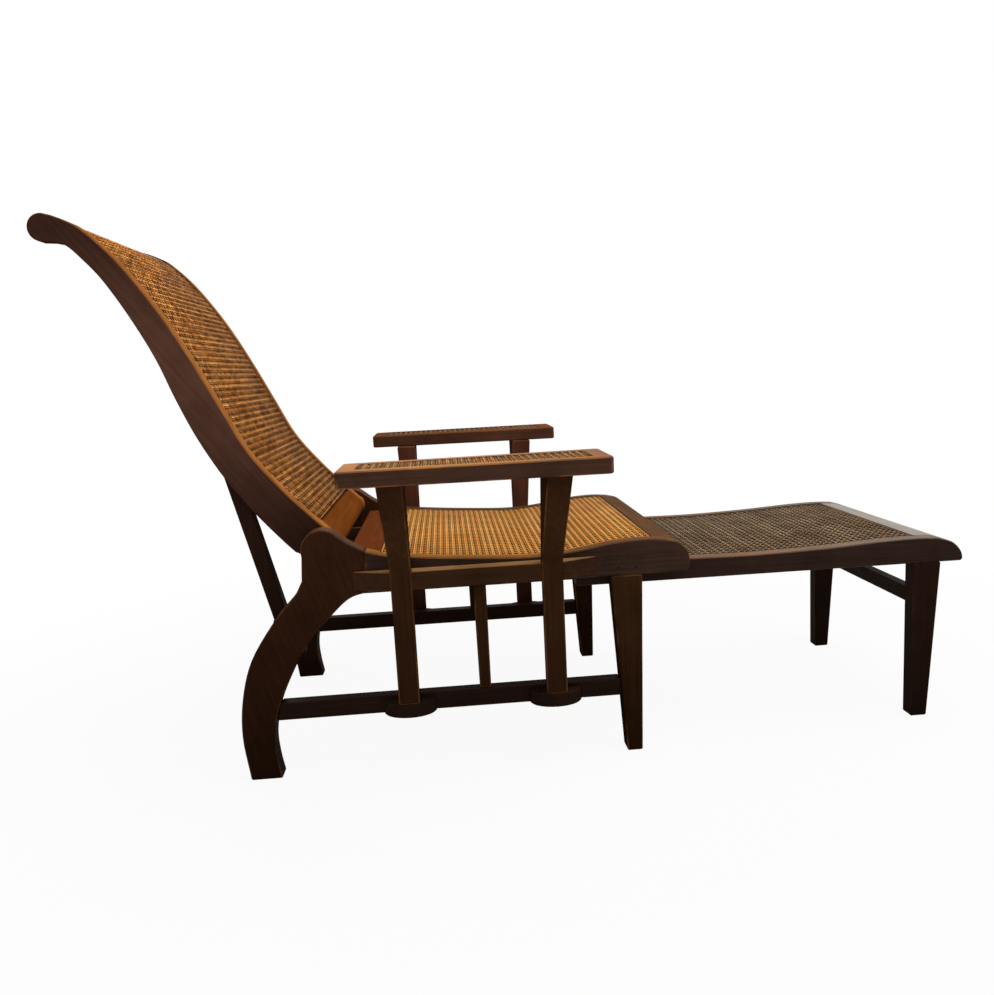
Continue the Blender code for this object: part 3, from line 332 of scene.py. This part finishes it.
# A darker copy of the upright wood for the footrest legs and prop strut, as painted shade under the chair.
dark_upright_wood = stained_hardwood(
    "hardwood_upright_dark", (0, 0, 1), "#27170f", "#2f1d14", "#6a4426", top=0.1, edge=0.1)
cross_wood = stained_hardwood(
    "hardwood_grain_across", (0, 1, 0), "#27170f", "#32211a", "#5a4434", top=0.3, edge=0.0)
low_wood = stained_hardwood(
    "hardwood_near_floor", (1, 0, 0), "#2a1a12", "#332119", "#4d2e1e", top=0.12, edge=0.0)
leg_wood = stained_hardwood(
    "hardwood_rear_leg", (-0.3, 0, 0.95), "#311b0f", "#3b2113", "#7d5836", top=0.4, edge=0.35)
# The stile's front face is lighter, partly wear and partly painted light from the front.
stile_wood = stained_hardwood(
    "hardwood_back_stile", (-0.6, 0, 0.8), "#54372c", "#5f4033", "#a8682e", top=0.95, edge=0.1,
    up=(0.85, 0, 0.53), shade=STILE_SHADE, gloss=0.0)
# The arm's top and eased edges are lighter, partly worn by hands and partly a painted highlight.
arm_wood = stained_hardwood(
    "hardwood_arm_rubbed_and_lit", (1, 0, 0), "#3f2a20", "#4a3226", "#b5763c", top=1.0, edge=0.7,
    tone_along_chair=(-0.15, 0.10, "#855430"))
# The far arm takes its own copy of the arm's wood, lighter and darker than the near one, as painted light and
# shade.
far_arm_wood = stained_hardwood(
    "hardwood_far_arm", (1, 0, 0), "#472d21", "#523628", "#7a4527", top=1.0, edge=0.5, gloss=0.0)
bottom_rail_wood = stained_hardwood(
    "hardwood_back_foot_rail", (0, 1, 0), "#572d12", "#663612", "#744016", top=0.7, edge=0.0,
    up=(0.7, 0, 0.7), gloss=0.0)
rear_board_wood = stained_hardwood(
    "hardwood_seat_rear_board", (0, 1, 0), "#5a2c14", "#643319", "#6d391c", top=0.7, edge=0.0, gloss=0.0)
front_board_wood = stained_hardwood(
    "hardwood_seat_front_board", (0, 1, 0), "#4b3829", "#553e2d", "#674830", top=0.8, edge=0.0, gloss=0.0)
foot_board_wood = stained_hardwood(
    "hardwood_foot_board", (0, 1, 0), "#4a4037", "#6b6055", "#857a6e", top=0.9, edge=0.0, gloss=0.5)
# The grey at the front of the footrest's rails is a painted sheen.
foot_rail_wood = stained_hardwood(
    "hardwood_footrest_rail", (1, 0, 0), "#2e1e18", "#36261f", "#82522f", top=0.85, edge=0.25,
    tone_along_chair=(0.25, 0.75, "#776a5b"), gloss=0.04)
print("woods made:", sum(material.name.startswith("hardwood") for material in bpy.data.materials))

# %% [markdown]
# The wood of a piece is found by its name. Pieces with a wood of their own come first in the search, then
# those that lie across the chair, then the uprights. What is left lies along the chair.

# %% Wood on each piece
UPRIGHT = ("front_leg", "middle_post", "rear_post", "front_post")
ACROSS = (
    "prop_bar", "prop_rod", "crest_rail", "_peg_", "back_hinge_pin",
    "footrest_rear_rail", "footrest_stretcher",
)
OWN_WOOD = {
    "rear_leg": leg_wood, "back_stile": stile_wood, "arm_left": far_arm_wood, "arm_right": arm_wood,
    "back_bottom_rail": bottom_rail_wood, "seat_rear_rail": rear_board_wood,
    "seat_front_rail": front_board_wood, "footrest_front_rail": foot_board_wood,
    "footrest_rail": foot_rail_wood, "seat_rail_left": far_rail_wood,
    "seat_rail_right": near_rail_wood, "ledge": ledge_wood,
    "stretcher_left": low_wood, "stretcher_right": low_wood,
    "rear_post_block": low_wood, "front_post_block": low_wood,
    "footrest_leg": dark_upright_wood, "prop_strut": dark_upright_wood,
    "rear_post_left": far_post_wood, "front_post_left": far_post_wood,
}


def wood_of(name):
    """The wood that a piece of the frame is cut from."""
    for start, wood in OWN_WOOD.items():
        if name.startswith(start):
            return wood
    if any(word in name for word in ACROSS):
        return cross_wood
    if any(name.startswith(word) for word in UPRIGHT):
        return upright_wood
    return level_wood


for name, piece in NODES.items():
    if "cane" not in name:
        for slot in piece.material_slots:
            slot.material = wood_of(name)
print("woods on", sum("cane" not in name for name in NODES), "nodes")

# %% [markdown]
# Chair cane is the outer skin of a climbing palm, split into flat strands about three millimetres wide. No
# two strands have quite the same colour, so each one takes its own shade, and with years of use the weave
# goes brown in patches. One colour for a whole panel would look like plastic.

# %% Colour of the cane
GRIME = 70 * MM


def add_cane_colour(tree, place, pale, deep, grimy, grime):
    """Each strand in its own shade, with brown patches over them."""
    strand = add_node(tree, "ShaderNodeNewGeometry")
    shade = add_node(tree, "ShaderNodeMix", {
        "data_type": "RGBA", "A_Color": linear(deep), "B_Color": linear(pale),
    }, {"Factor_Float": strand.outputs["Random Per Island"]})
    patches = add_node(tree, "ShaderNodeTexNoise", {
        "Scale": 1 / GRIME, "Detail": 4.0, "Roughness": 0.6,
    }, {"Vector": place.outputs["Object"]})
    dirt = add_node(tree, "ShaderNodeMapRange", {
        "From Min": 0.40, "From Max": 0.75, "To Min": 0.0, "To Max": grime,
    }, {"Value": patches.outputs["Fac"]})
    skin = add_node(tree, "ShaderNodeMix", {
        "data_type": "RGBA", "B_Color": linear(grimy),
    }, {"Factor_Float": dirt.outputs["Result"], "A_Color": shade.outputs[2]})
    return skin.outputs[2]


print("brown patches about", GRIME, "m wide")

# %% [markdown]
# Dust settles between the strands, and they lie in shade there. Each point of a strand carries how clean and
# lit it is, by how high it lies in the weave, and the low ones are darker: partly dust and partly painted
# shade.
# The back is also painted paler on the sitter's right side than on the left, and paler at its top than at its
# foot, as painted light and shade. Its strands are stained in short stretches, so that every row looks
# beaded.

# %% Painted shade, dust and stains
BEAD = 11 * MM
HALF_PANEL = 220 * MM
BACK_FOOT = 0.5
BACK_TOP = 1.0


def add_cane_brightness(tree, place, recess, sides, heights, beads):
    """Share of the colour that is left by dust and painted shade, by painted light across and up the panel,
    and by stains.
    """
    spot = add_node(tree, "ShaderNodeSeparateXYZ", {}, {"Vector": place.outputs["Object"]})
    clean_and_lit = add_node(tree, "ShaderNodeAttribute", {"attribute_name": "clean_and_lit"})
    dust_and_shade = add_node(tree, "ShaderNodeMapRange", {
        "To Min": recess, "To Max": 1.0,
    }, {"Value": clean_and_lit.outputs["Fac"]})
    # Painted light across the back: paler on its near side.
    side_light = add_node(tree, "ShaderNodeMapRange", {
        "From Min": -HALF_PANEL, "From Max": HALF_PANEL, "To Min": sides[0], "To Max": sides[1],
    }, {"Value": spot.outputs["Y"]})
    lit = add_node(tree, "ShaderNodeMapRange", {
        "From Min": BACK_FOOT, "From Max": BACK_TOP, "To Min": heights[0], "To Max": heights[1],
    }, {"Value": spot.outputs["Z"]})
    stains = add_node(tree, "ShaderNodeTexNoise", {
        "Scale": 1 / BEAD, "Detail": 1.0,
    }, {"Vector": place.outputs["Object"]})
    beaded = add_node(tree, "ShaderNodeMapRange", {
        "From Min": 0.35, "From Max": 0.65, "To Min": 1 - beads, "To Max": 1 + beads,
    }, {"Value": stains.outputs["Fac"]})
    brightness = dust_and_shade.outputs["Result"]
    for share in (side_light, lit, beaded):
        product = add_node(tree, "ShaderNodeMath", {
            "operation": "MULTIPLY",
        }, {"Value": brightness, "Value_001": share.outputs["Result"]})
        brightness = product.outputs["Value"]
    return brightness


print("stains about", BEAD, "m long")

# %% [markdown]
# The skin of the palm has a natural shine, but on an old chair it is dull and changes along the fibres. The
# seat is golden and the back browner. The arms, where hands lie, have gone dark, and the footrest, where
# shoes lie, a dull grey-brown.

# %% Split cane
FIBRE = 1.2 * MM
CANE_IOR = 1.5
CANE_GLOSS = 0.03


def split_cane(name, pale, deep, grimy, grime, recess=0.07, sides=(1.0, 1.0), heights=(1.0, 1.0), beads=0.0):
    """Strands of split palm skin, each in its own shade, with brown patches and dark recesses."""
    material, tree, shader = new_material(name)
    place = add_node(tree, "ShaderNodeTexCoord")
    skin = add_cane_colour(tree, place, pale, deep, grimy, grime)
    brightness = add_cane_brightness(tree, place, recess, sides, heights, beads)
    colour = add_node(tree, "ShaderNodeVectorMath", {
        "operation": "SCALE",
    }, {"Vector": skin, "Scale": brightness})
    fibres = add_node(tree, "ShaderNodeTexNoise", {
        "Scale": 1 / FIBRE, "Detail": 2.0,
    }, {"Vector": place.outputs["Object"]})
    sheen = add_node(tree, "ShaderNodeMapRange", {
        "From Min": 0.3, "From Max": 0.7, "To Min": 0.38, "To Max": 0.58,
    }, {"Value": fibres.outputs["Fac"]})
    tree.links.new(colour.outputs["Vector"], shader.inputs["Base Color"])
    tree.links.new(sheen.outputs["Result"], shader.inputs["Roughness"])
    shader.inputs["IOR"].default_value = CANE_IOR
    shader.inputs["Specular IOR Level"].default_value = CANE_GLOSS
    return material


# The recess values set how dark the painted shade lies deep in the weave.
golden_cane = split_cane("split_cane_golden", "#ffc068", "#f7a24a", "#b0602a", 0.45, recess=0.09)
# The back is painted paler towards its near side and its top, as painted light and shade.
brown_cane = split_cane(
    "split_cane_browned", "#e09a50", "#b06c34", "#773f18", 0.6, recess=0.08, sides=(1.3, 0.8),
    heights=(0.78, 1.22), beads=0.55)
dark_cane = split_cane("split_cane_darkened", "#cf9a5a", "#7c4f27", "#3d2411", 0.6)
# The far arm's cane is a darker copy of the near arm's, as painted shade.
far_arm_cane = split_cane("split_cane_far_arm", "#856339", "#623f1e", "#33200f", 0.5)
grey_cane = split_cane("split_cane_greyed", "#ae9070", "#85694d", "#4f3c2e", 0.6, recess=0.10)
print("canes made:", sum(material.name.startswith("split_cane") for material in bpy.data.materials))

# %% [markdown]
# The panels are woven in six steps, the usual pattern with eight-sided holes. A panel could be a bump on a
# sheet, but then it would have no holes and would look flat at a low angle, so every strand is a narrow solid
# of its own. The panel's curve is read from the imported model: the points of its upper faces, in order. The
# back stands steeply, so its upper side is taken as up and to the front.

# %% The curve of a panel
FLAT_UP = Vector((0, 0, 1))
STEEP_UP = Vector((0.6, 0, 0.8))
FACES_UP = 0.75
SLOPE_STEP = 4 * MM


class PanelCurve:
    """A panel's curve in X and Z, measured by the distance along it."""

    def __init__(self, node):
        low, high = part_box(node)
        steep = high[2] - low[2] > high[0] - low[0]
        self.up = STEEP_UP if steep else FLAT_UP
        mesh = NODES[node].data
        points = set()
        for face in mesh.polygons:
            if face.normal.dot(self.up) > FACES_UP:
                for corner in face.vertices:
                    x, _, z = mesh.vertices[corner].co
                    points.add((round(x, 4), round(z, 4)))
        self.points = np.array(sorted(points, key=lambda p: p[1] if steep else p[0]))
        steps = np.hypot(*np.diff(self.points, axis=0).T)
        self.along = np.concatenate(([0.0], np.cumsum(steps)))
        self.length = self.along[-1]
        self.near, self.far = low[1], high[1]

    def at(self, along):
        """X and Z of points on the curve."""
        return np.stack([np.interp(along, self.along, self.points[:, i]) for i in (0, 1)], axis=-1)

    def outward(self, along):
        """Direction away from the panel's upper side, in X and Z."""
        slope = self.at(along + SLOPE_STEP) - self.at(along - SLOPE_STEP)
        side = np.stack([-slope[:, 1], slope[:, 0]], axis=-1)
        side /= np.linalg.norm(side, axis=1)[:, None]
        return side * np.sign(side @ np.array([self.up.x, self.up.z]))[:, None]


print("seat panel", round(PanelCurve("seat_cane").length, 3), "m along its curve")

# %% [markdown]
# Two strands run along the panel at each pitch and two across it, and one strand in each diagonal locks them.
# The two lengthwise strands lie side by side, one higher than the other. The holes stand about 12.5
# millimetres apart along the panel and 15 across it, which is later fitted so that a whole number of holes
# fills the panel each way. The upper lengthwise strands are painted bright, and the others less, as painted
# light.

# %% Sizes of the weave
PITCH_ALONG = 12.5 * MM
PITCH_ACROSS = 15 * MM
STRAND = 3.0 * MM
DIAGONAL = 2.6 * MM
BINDER = 4 * MM
PAIR = 1.65 * MM
THICK = 1.0 * MM
LENGTHWISE_THICK = 2.0 * MM
LOWER = -2.4 * MM
UPPER = 0.0
HIGHEST = UPPER + (LENGTHWISE_THICK + THICK) / 2
LOWEST = LOWER - (LENGTHWISE_THICK + THICK) / 2
CURVE_STEP = 20 * MM
# Painted light on each kind of strand, and painted shade on their flanks.
UPPER_LIGHT = 1.6
LOWER_LIGHT = 0.3
ACROSS_LIGHT = 1.1
DIAGONAL_LIGHT = 1.0
BINDER_LIGHT = 0.7
FLANK_LIGHT = 0.45
DEEP_FLANK_SHADE = -0.8
print("weave", round((HIGHEST - LOWEST) / MM, 1), "mm from its lowest strand to its highest")

# %% [markdown]
# A strand is a path of points: how far along the panel, where across it, and how high above its upper side.
# Its section is a flat lens. All strands of a panel are collected into one mesh, which also keeps how clean
# and lit each point is: bright where a strand lies high, and darker at its sides and below than on its top,
# as painted shade with some dust. The lengthwise strands are the thickest and have the darkest painted shade
# on their flanks.

# %% Strands
class Weave:
    """The strands of one panel, collected as points and faces."""

    def __init__(self, curve, rise):
        self.curve = curve
        self.rise = rise
        self.points = []
        self.faces = []
        self.clean_and_lit = []

    def add_strand(self, path, width, thick, rubbed_and_lit, flank=FLANK_LIGHT):
        """A lens-shaped strand along a path of (along, across, height)."""
        along, across, height = np.array(path, dtype=float).T
        flat = self.curve.at(along)
        out = self.curve.outward(along)
        level = height + self.rise
        middle = np.stack([flat[:, 0] + out[:, 0] * level, across, flat[:, 1] + out[:, 1] * level], axis=1)
        up = np.stack([out[:, 0], np.zeros(len(out)), out[:, 1]], axis=1)
        run = np.gradient(middle, axis=0)
        side = np.cross(run, up)
        side /= np.linalg.norm(side, axis=1)[:, None]
        ring = [side * width / 2, up * thick / 2, -side * width / 2, -up * thick / 2]
        first = len(self.points)
        for i in range(len(middle)):
            self.points += [tuple(middle[i] + arm[i]) for arm in ring]
            lift = (height[i] - LOWEST) / (HIGHEST - LOWEST)
            self.clean_and_lit += [rubbed_and_lit * lift * share for share in (flank, 1.0, flank, 0.0)]
        for i in range(len(middle) - 1):
            a, b = first + 4 * i, first + 4 * (i + 1)
            for j in range(4):
                k = (j + 1) % 4
                self.faces.append((a + j, a + k, b + k, b + j))
        last = first + 4 * (len(middle) - 1)
        self.faces.append((first + 3, first + 2, first + 1, first))
        self.faces.append((last, last + 1, last + 2, last + 3))

    def to_object(self, name, material):
        """The collected strands as one smooth-shaded object."""
        mesh = bpy.data.meshes.new(name)
        mesh.from_pydata(self.points, [], self.faces)
        mesh.shade_smooth()
        mesh.attributes.new("clean_and_lit", "FLOAT", "POINT").data.foreach_set("value", self.clean_and_lit)
        mesh.materials.append(material)
        piece = bpy.data.objects.new(name, mesh)
        bpy.context.collection.objects.link(piece)
        return piece


# %% [markdown]
# The first cross strand of each pair lies over both lengthwise ones. The second weaves over the upper one
# and under the lower one, so it goes up and down once at each pitch.

# %% Strands along and across
def level_path(along_ends, across_ends, height, steps):
    """A plain path between two points of the panel."""
    share = np.linspace(0, 1, steps + 1)
    along = along_ends[0] + (along_ends[1] - along_ends[0]) * share
    across = across_ends[0] + (across_ends[1] - across_ends[0]) * share
    return [(a, c, height) for a, c in zip(along, across)]


def add_lengthwise(weave, pitch_across, holes_across):
    """Two strands along the panel at each pitch, the upper one towards the sitter's right."""
    curve = weave.curve
    ends = (0.0, curve.length)
    steps = max(2, round(curve.length / CURVE_STEP))
    for i in range(1, holes_across):
        middle = curve.near + i * pitch_across
        pair = ((middle - PAIR, UPPER, UPPER_LIGHT), (middle + PAIR, LOWER, LOWER_LIGHT))
        for across, height, rubbed_and_lit in pair:
            path = level_path(ends, (across, across), height, steps)
            weave.add_strand(path, STRAND, LENGTHWISE_THICK, rubbed_and_lit, DEEP_FLANK_SHADE)


def add_across(weave, pitch_along, pitch_across, holes_along, holes_across):
    """Two strands across the panel at each pitch, one over all the pairs and one woven through them."""
    curve = weave.curve
    for j in range(1, holes_along):
        middle = j * pitch_along
        path = level_path((middle - PAIR,) * 2, (curve.near, curve.far), HIGHEST, 1)
        weave.add_strand(path, STRAND, THICK, ACROSS_LIGHT)
        path = [(middle + PAIR, curve.near, UPPER)]
        for i in range(1, holes_across):
            across = curve.near + i * pitch_across
            path.append((middle + PAIR, across - PAIR, HIGHEST))
            path.append((middle + PAIR, across + PAIR, LOWEST))
        path.append((middle + PAIR, curve.far, UPPER))
        weave.add_strand(path, STRAND, THICK, ACROSS_LIGHT)


# %% [markdown]
# The diagonals go over and under by turns. A binding strand lies over the ends along each edge, as it does on
# the real chair, where it hides the holes that the cane is pulled through.

# %% Diagonals and binders
def add_diagonals(weave, pitch_along, pitch_across, holes_along, holes_across):
    """Both sets of diagonals. Halves of a pitch are counted, so each crossing has whole numbers."""
    curve = weave.curve
    for lean in (1, -1):
        for start in range(-2 * holes_along, 2 * holes_across + 2 * holes_along + 1):
            if start % 2 == 0:
                continue
            path = []
            for half in range(2 * holes_along + 1):
                across = start + lean * half
                if 0 <= across <= 2 * holes_across:
                    over = (half % 2 == 0) == (lean == 1)
                    height = HIGHEST if over else LOWEST
                    path.append((half * pitch_along / 2, curve.near + across * pitch_across / 2, height))
            if len(path) > 1:
                weave.add_strand(path, DIAGONAL, THICK, DIAGONAL_LIGHT)


def add_binders(weave):
    """A wider strand along each edge, over the ends of the others."""
    curve = weave.curve
    inset = BINDER / 2
    steps = max(2, round(curve.length / CURVE_STEP))
    for across in (curve.near + inset, curve.far - inset):
        path = level_path((0.0, curve.length), (across, across), HIGHEST, steps)
        weave.add_strand(path, BINDER, THICK, BINDER_LIGHT)
    for along in (inset, curve.length - inset):
        path = level_path((along, along), (curve.near, curve.far), HIGHEST, 1)
        weave.add_strand(path, BINDER, THICK, BINDER_LIGHT)


# %% [markdown]
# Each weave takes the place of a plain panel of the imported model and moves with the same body. In the arms
# the cane is pulled up nearly to the face of the wood, so there the weave is raised a little.

# %% Woven panels
ARM_RISE = 1.8 * MM


def woven_panel(name, node, body, material, rise=0.0):
    """A caned panel in place of its plain sheet, raised a little where it is pulled up to the wood's face."""
    weave = Weave(PanelCurve(node), rise)
    width = weave.curve.far - weave.curve.near
    holes_along = max(2, round(weave.curve.length / PITCH_ALONG))
    holes_across = max(2, round(width / PITCH_ACROSS))
    grid = (weave.curve.length / holes_along, width / holes_across, holes_along, holes_across)
    add_lengthwise(weave, grid[1], holes_across)
    add_across(weave, *grid)
    add_diagonals(weave, *grid)
    add_binders(weave)
    piece = weave.to_object(name, material)
    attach(piece, body)
    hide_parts(node)
    print(name, holes_along, "by", holes_across, "holes,", len(weave.faces), "faces")


woven_panel("seat_weave", "seat_cane", "frame", golden_cane)
woven_panel("back_weave", "back_cane", "back", brown_cane)
woven_panel("footrest_weave", "footrest_cane", "footrest", grey_cane)
for label, cane in (("left", far_arm_cane), ("right", dark_cane)):
    woven_panel(f"arm_weave_{label}", f"arm_cane_{label}", "frame", cane, rise=ARM_RISE)

# %% [markdown]
# The photograph has a plain white ground. A large floor keeps a faint shadow under the feet: to the camera it
# is mostly plain white, and all white further off, so that no horizon shows. To other light it is a pale
# matt surface.

# %% Floor
FLOOR_SIZE = 30
FLOOR_DROP = 0.5 * MM


def studio_floor(size):
    """A wide pale floor that looks nearly white."""
    mesh = bpy.data.meshes.new("studio_floor")
    half = size / 2
    corners = [(-half, -half, 0), (half, -half, 0), (half, half, 0), (-half, half, 0)]
    mesh.from_pydata(corners, [], [(0, 1, 2, 3)])
    floor = bpy.data.objects.new("studio_floor", mesh)
    floor.location.z = -FLOOR_DROP
    bpy.context.collection.objects.link(floor)
    material, tree, shader = new_material("matt_studio_paper")
    shader.inputs["Base Color"].default_value = linear("#c8c6c2")
    shader.inputs["Roughness"].default_value = 0.9
    shader.inputs["Specular IOR Level"].default_value = 0.0
    place = add_node(tree, "ShaderNodeTexCoord")
    away = add_node(tree, "ShaderNodeVectorMath", {
        "operation": "LENGTH",
    }, {"Vector": place.outputs["Object"]})
    white = add_node(tree, "ShaderNodeMapRange", {
        "From Min": 0.7, "From Max": 1.8, "To Min": 0.93, "To Max": 1.0,
    }, {"Value": away.outputs["Value"]})
    seen = add_node(tree, "ShaderNodeLightPath")
    glow = add_node(tree, "ShaderNodeEmission", {"Color": (1, 1, 1, 1), "Strength": 1.0})
    share = add_node(tree, "ShaderNodeMath", {
        "operation": "MULTIPLY",
    }, {"Value": seen.outputs["Is Camera Ray"], "Value_001": white.outputs["Result"]})
    blend = add_node(tree, "ShaderNodeMixShader", {}, {
        "Fac": share.outputs["Value"],
        "Shader": shader.outputs["BSDF"],
        "Shader_001": glow.outputs["Emission"],
    })
    tree.links.new(blend.outputs["Shader"], tree.nodes["Material Output"].inputs["Surface"])
    mesh.materials.append(material)


studio_floor(FLOOR_SIZE)
print("floor", FLOOR_SIZE, "m wide")

# %% [markdown]
# The light is that of a plain studio: a large soft lamp above and in front of the chair, and weaker ones from
# the camera's side and from behind. Small lamps would give hard shadows, so each is more than a metre wide.

# %% Lamps
CHAIR_MIDDLE = (0.0, 0.0, 0.5)


def soft_lamp(name, place, target, size, watts):
    """A square area lamp that looks at a point."""
    data = bpy.data.lights.new(name, "AREA")
    data.size = size
    data.energy = watts
    lamp = bpy.data.objects.new(name, data)
    lamp.location = place
    lamp.rotation_euler = (Vector(target) - Vector(place)).to_track_quat("-Z", "Y").to_euler()
    bpy.context.collection.objects.link(lamp)


soft_lamp("lamp_above", (0.9, -0.3, 2.6), CHAIR_MIDDLE, 1.8, 60)
soft_lamp("lamp_camera_side", (-0.6, -2.6, 1.6), CHAIR_MIDDLE, 1.6, 14)
soft_lamp("lamp_behind", (-1.8, 2.4, 1.5), CHAIR_MIDDLE, 1.6, 14)
print("lamps:", len(bpy.data.lights))

# %% [markdown]
# A pale room lies all round. It is white where the camera or a reflection sees it, and dimmer as a source of
# light, so that the chair isn't washed out.

# %% Room
ROOM_LIGHT = 0.45

room = bpy.data.worlds.new("pale_room")
room.use_nodes = True
bpy.context.scene.world = room
sky = room.node_tree.nodes["Background"]
ray = add_node(room.node_tree, "ShaderNodeLightPath")
mirrored = add_node(room.node_tree, "ShaderNodeMath", {
    "operation": "MAXIMUM",
}, {"Value": ray.outputs["Is Glossy Ray"], "Value_001": ray.outputs["Is Transmission Ray"]})
shown = add_node(room.node_tree, "ShaderNodeMath", {
    "operation": "MAXIMUM",
}, {"Value": ray.outputs["Is Camera Ray"], "Value_001": mirrored.outputs["Value"]})
strength = add_node(room.node_tree, "ShaderNodeMapRange", {
    "To Min": ROOM_LIGHT, "To Max": 1.0,
}, {"Value": shown.outputs["Value"]})
sky.inputs["Color"].default_value = (1, 1, 1, 1)
room.node_tree.links.new(strength.outputs["Result"], sky.inputs["Strength"])
bpy.context.scene.view_settings.view_transform = "Standard"
print("room gives light at", ROOM_LIGHT, "of its white")
